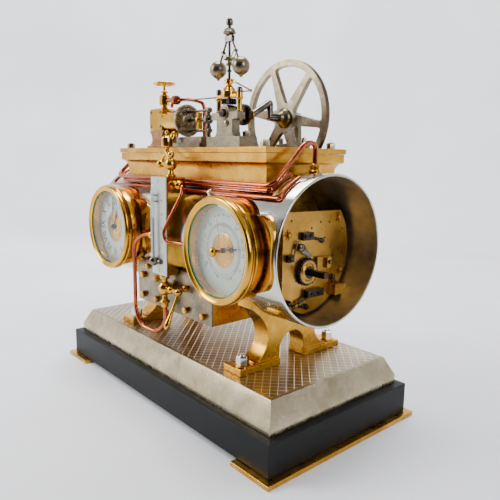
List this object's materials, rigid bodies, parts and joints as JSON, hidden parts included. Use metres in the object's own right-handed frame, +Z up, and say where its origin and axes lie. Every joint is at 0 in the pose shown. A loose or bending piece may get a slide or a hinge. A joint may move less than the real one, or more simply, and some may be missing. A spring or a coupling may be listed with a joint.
{
  "type": "model steam engine",
  "caption": "Horizontal boiler steam engine model on a stepped base, with a flywheel, fly-ball governor, clock, barometer and thermometer.",
  "frame": {"origin": "middle of the footprint, level with the undersides of the two gilt foot bars", "axes": "+X along the boiler to its open end, +Y away from the dials to the flywheel side, +Z up"},
  "size_m": [0.372, 0.194, 0.3684],
  "materials": {
    "gilt": "mirror gilding over brass",
    "nickel": "nickel plate, bright brushed, cross-hatched on the base",
    "ebonised": "ebonised, satin black",
    "copper": "polished copper tube",
    "steel": "bright and darkened steel",
    "brass": "brushed movement brass",
    "silvered": "matt silvered brass with engraved and waxed marks",
    "blued": "blued steel",
    "bronze": "patinated bronze",
    "glass": "bevelled clear glass, greenish edge"
  },
  "bodies": {
    "stand": {"foot_bar_left": "gilt", "foot_bar_right": "gilt", "boiler_saddle_left": "gilt", "boiler_saddle_right": "gilt", "firebox_casing": "gilt", "deck_cradle": "gilt", "deck_top_plate": "gilt", "clock_drum": "gilt", "barometer_drum": "gilt", "barometer_bezel": "gilt", "thermometer_block": "gilt", "lower_tap_body": "gilt", "upper_tap_body": "gilt", "steam_cylinder": "gilt", "stop_valve_body": "gilt", "governor_frame": "gilt", "bevelled_base_plate": "nickel", "boiler_shell": "nickel", "boiler_end_cap": "nickel", "firebox_front_plate": "nickel", "cylinder_cover": "nickel", "guide_bed": "nickel", "governor_stand": "nickel", "rear_pedestal": "nickel", "plinth_slab": "ebonised", "supply_pipe": "copper", "drain_pipe": "copper", "return_pipe": "copper", "gauge_pipe": "copper", "siphon_pipe": "copper", "steam_pipe": "copper", "movement_back_plate": "brass", "movement_front_plate": "brass", "clock_dial": "silvered", "barometer_dial": "silvered", "thermometer_scale": "silvered", "chest_pedestal": "bronze", "barometer_glass": "glass", "thermometer_tube": "glass"},
    "clock_door": {"clock_bezel": "gilt", "clock_glass": "glass"},
    "hour": {"hour_hand": "blued"},
    "minute": {"minute_hand": "blued"},
    "barometer_pointer": {"barometer_hand": "blued"},
    "barometer_set": {"set_hand": "gilt"},
    "barrel": {"mainspring_barrel": "brass"},
    "winding": {"winding_arbor": "steel"},
    "pawl": {"click": "steel"},
    "wheel": {"flywheel": "nickel", "crankshaft": "steel"},
    "governor": {"governor_spindle": "steel"},
    "arm_left": {"governor_arm_left": "nickel"},
    "arm_right": {"governor_arm_right": "nickel"},
    "sleeve": {"governor_sleeve": "gilt"},
    "piston": {"piston_rod": "steel"},
    "handwheel": {"valve_handwheel": "gilt"},
    "lower_lever": {"lower_tap_lever": "gilt"},
    "upper_lever": {"upper_tap_lever": "gilt"}
  },
  "joints": [
    {"name": "flywheel_spin", "type": "hinge", "parent": "stand", "child": "wheel", "pos_m": [0.06193, -0.0217, 0.28698], "axis": [0, 1, 0], "continuous": true},
    {"name": "governor_spin", "type": "hinge", "parent": "stand", "child": "governor", "pos_m": [0.06193, -0.03857, 0.33477], "axis": [0, 0, 1], "continuous": true},
    {"name": "arm_left_swing", "type": "hinge", "parent": "governor", "child": "arm_left", "pos_m": [0.05865, -0.03857, 0.3507], "axis": [0, 1, 0], "range_deg": [0, 22]},
    {"name": "arm_right_swing", "type": "hinge", "parent": "governor", "child": "arm_right", "pos_m": [0.06521, -0.03857, 0.3507], "axis": [0, -1, 0], "range_deg": [0, 22]},
    {"name": "sleeve_lift", "type": "slide", "parent": "governor", "child": "sleeve", "axis": [0, 0, 1], "range_m": [0, 0.0042]},
    {"name": "piston_slide", "type": "slide", "parent": "stand", "child": "piston", "axis": [1, 0, 0], "range_m": [-0.0065, 0.0093]},
    {"name": "valve_turn", "type": "hinge", "parent": "stand", "child": "handwheel", "pos_m": [-0.05613, -0.03294, 0.32409], "axis": [0, 0, 1], "range_deg": [0, 360]},
    {"name": "lower_lever_turn", "type": "hinge", "parent": "stand", "child": "lower_lever", "pos_m": [0.0246, -0.07, 0.118], "axis": [-1, 0, 0], "range_deg": [0, 90]},
    {"name": "upper_lever_turn", "type": "hinge", "parent": "stand", "child": "upper_lever", "pos_m": [-0.0148, -0.064, 0.2408], "axis": [1, 0, 0], "range_deg": [0, 90]},
    {"name": "barrel_turn", "type": "hinge", "parent": "stand", "child": "barrel", "pos_m": [0.104, 0.001, 0.147], "axis": [1, 0, 0], "continuous": true},
    {"name": "minute_turn", "type": "hinge", "parent": "stand", "child": "minute", "pos_m": [-0.0989, -0.0758, 0.17], "axis": [0, 1, 0], "continuous": true},
    {"name": "hour_turn", "type": "hinge", "parent": "stand", "child": "hour", "pos_m": [-0.0989, -0.0745, 0.17], "axis": [0, 1, 0], "continuous": true},
    {"name": "winding_turn", "type": "hinge", "parent": "stand", "child": "winding", "pos_m": [0.1259, 0.001, 0.147], "axis": [1, 0, 0], "continuous": true},
    {"name": "click_lift", "type": "hinge", "parent": "stand", "child": "pawl", "pos_m": [0.1275, -0.008, 0.17], "axis": [1, 0, 0], "range_deg": [0, 12]},
    {"name": "pointer_turn", "type": "hinge", "parent": "stand", "child": "barometer_pointer", "pos_m": [0.0989, -0.075, 0.17], "axis": [0, 1, 0], "range_deg": [-150, 150]},
    {"name": "set_turn", "type": "hinge", "parent": "stand", "child": "barometer_set", "pos_m": [0.0989, -0.08, 0.17], "axis": [0, 1, 0], "range_deg": [-150, 150]},
    {"name": "door_swing", "type": "hinge", "parent": "stand", "child": "clock_door", "pos_m": [-0.1474, -0.079, 0.17], "axis": [0, 0, -1], "range_deg": [0, 110]}
  ],
  "couplings": [
    {"joint": "governor_spin", "follows": "flywheel_spin", "ratio": 1},
    {"joint": "arm_right_swing", "follows": "arm_left_swing", "ratio": 1},
    {"joint": "sleeve_lift", "follows": "arm_left_swing", "m_per_rad": 0.0106},
    {"joint": "barrel_turn", "follows": "minute_turn", "ratio": 0.125},
    {"joint": "hour_turn", "follows": "minute_turn", "ratio": 0.083333}
  ]
}
